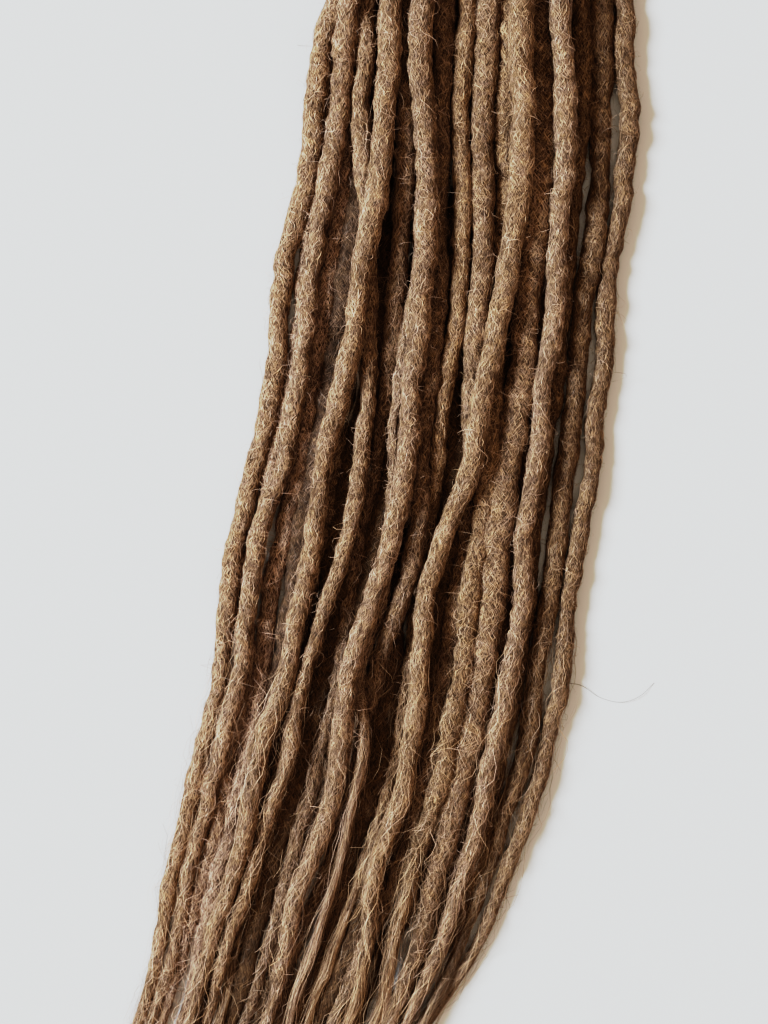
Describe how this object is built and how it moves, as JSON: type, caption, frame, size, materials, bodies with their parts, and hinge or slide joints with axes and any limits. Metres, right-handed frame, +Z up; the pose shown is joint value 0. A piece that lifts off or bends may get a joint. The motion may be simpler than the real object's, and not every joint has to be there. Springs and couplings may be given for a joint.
{
  "type": "dreadlock extension",
  "caption": "Hank of long brown crocheted dreadlock extensions, lying flat side by side and held by a hair elastic near the root ends.",
  "frame": {"origin": "middle of the flat underside of the hair elastic, on the surface that the hank lies on", "axes": "+Y along the hank towards the blunt root ends, -Y towards the tips, +Z up from the surface, +X to the side that the tips drift away from"},
  "size_m": [0.1697, 0.4982, 0.0307],
  "materials": {
    "felted_hair": "matt felted and crocheted hair, brown with lighter strands",
    "elastic": "matt knitted elastic, dark brown"
  },
  "bodies": {
    "root": {"lock_01": "felted_hair", "lock_02": "felted_hair", "lock_03": "felted_hair", "lock_04": "felted_hair", "lock_05": "felted_hair", "lock_06": "felted_hair", "lock_07": "felted_hair", "lock_08": "felted_hair", "lock_09": "felted_hair", "lock_10": "felted_hair", "lock_11": "felted_hair", "lock_12": "felted_hair", "lock_13": "felted_hair", "lock_14": "felted_hair", "lock_15": "felted_hair", "lock_16": "felted_hair", "lock_17": "felted_hair", "lock_18": "felted_hair", "lock_19": "felted_hair", "lock_20": "felted_hair", "lock_21": "felted_hair", "lock_22": "felted_hair", "lock_23": "felted_hair", "lock_24": "felted_hair", "lock_25": "felted_hair", "lock_26": "felted_hair", "lock_27": "felted_hair", "tie_band": "elastic"}
  },
  "joints": []
}
